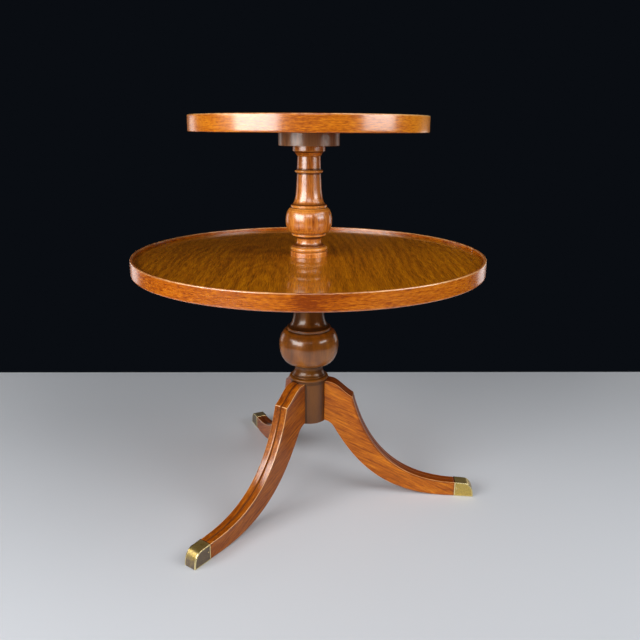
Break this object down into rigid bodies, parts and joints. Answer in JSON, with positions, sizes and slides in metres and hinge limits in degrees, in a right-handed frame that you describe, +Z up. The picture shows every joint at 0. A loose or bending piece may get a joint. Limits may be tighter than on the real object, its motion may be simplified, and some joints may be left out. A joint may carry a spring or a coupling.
{
  "type": "tiered side table",
  "caption": "Free-standing round tiered side table: rimmed trays one above the other on turned columns, with sabre legs ending in brass toe caps.",
  "frame": {"origin": "on the floor, on the common axis of the columns and trays", "axes": "+Z up along the columns, the front leg points along -Y, and +X is to the right as seen from that leg"},
  "size_m": [0.6095, 0.6198, 0.6905],
  "materials": {
    "tray_panel": "glossy veneer, olive brown",
    "tray_rim": "glossy, orange brown",
    "tray_block": "dark stain",
    "turned_wood": "glossy, turned",
    "leg_wood": "satin, orange brown",
    "toe_brass": "aged",
    "brass_hardware": "plain",
    "steel_hardware": "plain"
  },
  "bodies": {
    "root": {"lower_tray_panel": "tray_panel", "lower_tray_rim": "tray_rim", "lower_tray_block": "tray_block", "lower_block_screws": "steel_hardware", "lower_column": "turned_wood", "coupling_stud": "steel_hardware", "coupling_insert": "brass_hardware", "upper_column": "turned_wood", "upper_tray_block": "tray_block", "upper_block_screws": "steel_hardware", "upper_tray_panel": "tray_panel", "upper_tray_rim": "tray_rim", "leg_front": "leg_wood", "leg_right": "leg_wood", "leg_left": "leg_wood", "toe_cap_front": "toe_brass", "toe_cap_right": "toe_brass", "toe_cap_left": "toe_brass", "toe_cap_pins": "toe_brass"}
  },
  "joints": []
}
